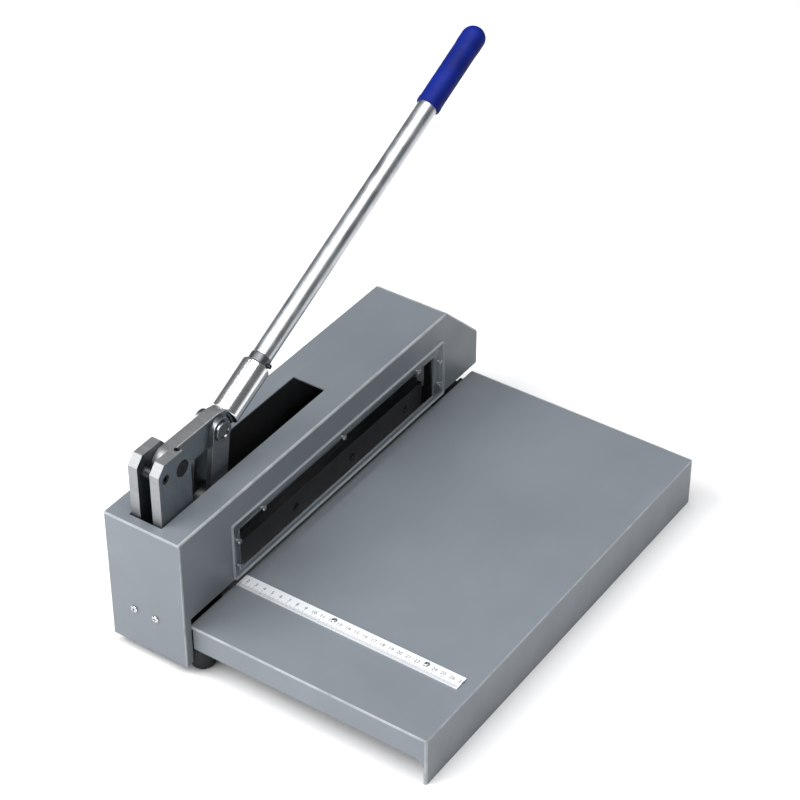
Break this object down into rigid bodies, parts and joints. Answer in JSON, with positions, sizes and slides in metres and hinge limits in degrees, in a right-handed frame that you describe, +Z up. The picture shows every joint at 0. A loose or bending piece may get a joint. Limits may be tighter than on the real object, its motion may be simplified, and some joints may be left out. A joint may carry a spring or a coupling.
{
  "type": "bench guillotine shear",
  "caption": "Bench guillotine shear with a steel housing, pivoted blade driven by a long lever and links, clear blade guard, and a side table with a rule.",
  "frame": {"origin": "middle of the outline seen from above, on the surface that the feet stand on", "axes": "+X from the housing towards the table, +Y from the operator's end towards the far end, where the closed handle points, +Z up"},
  "size_m": [0.3656, 0.583, 0.4389],
  "materials": {
    "painted_sheet": "satin grey enamel",
    "black_steel": "satin black",
    "dark_steel": "dark oiled plate",
    "blade_steel": "dark ground tool steel",
    "ground_steel": "ground",
    "chrome": "bright plated",
    "black_screw": "blackened steel",
    "plated_screw": "zinc plated",
    "zinc_tube": "galvanised, satin",
    "blue_grip": "soft dipped vinyl",
    "clear_guard": "clear acrylic sheet",
    "white_rule": "white enamel with black marks",
    "black_rubber": "matt"
  },
  "bodies": {
    "frame": {"housing_shell": "painted_sheet", "end_screws": "plated_screw", "rear_screws": "plated_screw", "window_guard": "clear_guard", "guard_screws": "plated_screw", "base_plate": "black_steel", "base_screws": "black_screw", "rubber_feet": "black_rubber", "foot_screws": "plated_screw", "cheek_left": "dark_steel", "cheek_right": "dark_steel", "cheek_spacer": "black_screw", "cheek_tie_bolt": "black_screw", "fulcrum_pin": "dark_steel", "pin_lock_screw": "black_screw", "closing_buffer": "black_rubber", "lower_blade": "ground_steel", "lower_blade_screws": "black_screw", "bed_bar": "black_steel", "table_tray": "painted_sheet", "table_ledge": "black_steel", "table_ribs": "painted_sheet", "table_screws": "black_screw", "scale_rule": "white_rule", "rule_screws": "plated_screw", "pivot_bracket_left": "black_steel", "pivot_bracket_right": "black_steel", "pivot_pin": "ground_steel", "pivot_circlips": "black_screw"},
    "lever": {"lever_arm": "dark_steel", "handle_socket": "chrome", "lock_collar": "black_screw", "set_screw": "black_screw", "handle_tube": "zinc_tube", "hand_grip": "blue_grip"},
    "links": {"link_left": "ground_steel", "link_right": "ground_steel", "link_pin": "chrome", "drop_pin": "ground_steel", "link_circlips": "black_screw"},
    "blade_carrier": {"blade_beam": "black_steel", "beam_web": "dark_steel", "beam_screws": "black_screw", "end_block": "ground_steel", "upper_blade": "blade_steel", "upper_blade_bolts": "black_screw"}
  },
  "joints": [
    {"name": "lever_hinge", "type": "hinge", "parent": "frame", "child": "lever", "pos_m": [-0.13805, -0.24135, 0.214], "axis": [1, 0, 0], "range_deg": [0, 36]},
    {"name": "link_hinge", "type": "hinge", "parent": "lever", "child": "links", "pos_m": [-0.13805, -0.17495, 0.214], "axis": [-1, 0, 0], "range_deg": [0, 22.53]},
    {"name": "blade_hinge", "type": "hinge", "parent": "frame", "child": "blade_carrier", "pos_m": [-0.13805, 0.19865, 0.075], "axis": [-1, 0, 0], "range_deg": [0, 5.84]}
  ],
  "couplings": [
    {"joint": "link_hinge", "follows": "lever_hinge", "ratio": 0.6256},
    {"joint": "blade_hinge", "follows": "lever_hinge", "ratio": 0.1621}
  ]
}
